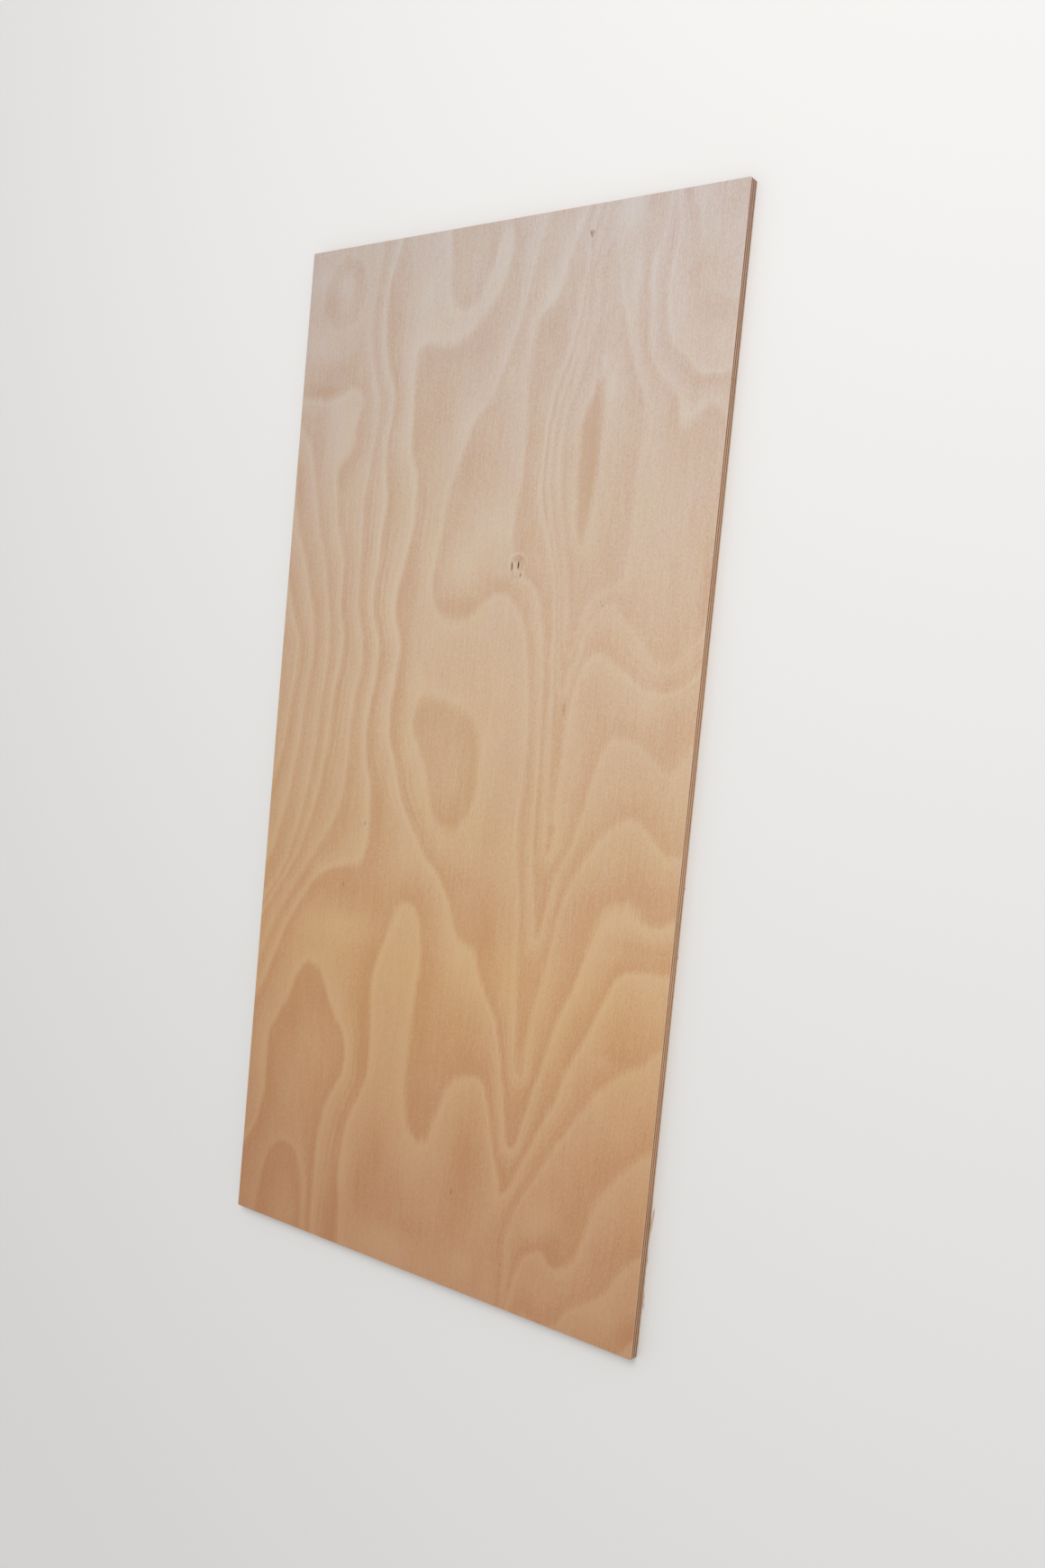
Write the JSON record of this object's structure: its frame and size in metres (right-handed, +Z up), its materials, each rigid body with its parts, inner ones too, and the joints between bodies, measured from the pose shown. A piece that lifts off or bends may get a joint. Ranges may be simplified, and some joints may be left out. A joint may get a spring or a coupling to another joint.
{
  "type": "plywood sheet",
  "caption": "Rectangular sheet of plywood lying flat: thin veneers glued with crossing grain, a sanded face with wavy rotary-cut figure, sawn edges showing the plies.",
  "frame": {"origin": "centre of the sawn sheet, on its underside", "axes": "+Y along the length and the face grain, +X across the width, +Z up through the plies to the sanded face"},
  "size_m": [0.6036, 1.2, 0.012],
  "materials": {
    "face_veneer": "sanded, unfinished",
    "crossband": "sawn end grain",
    "core": "sawn long grain",
    "back_veneer": "unfinished, torn along one edge"
  },
  "bodies": {
    "root": {"face_veneer": "face_veneer", "face_crossband": "crossband", "face_core": "core", "middle_crossband": "crossband", "back_core": "core", "back_crossband": "crossband", "back_veneer": "back_veneer"}
  },
  "joints": []
}
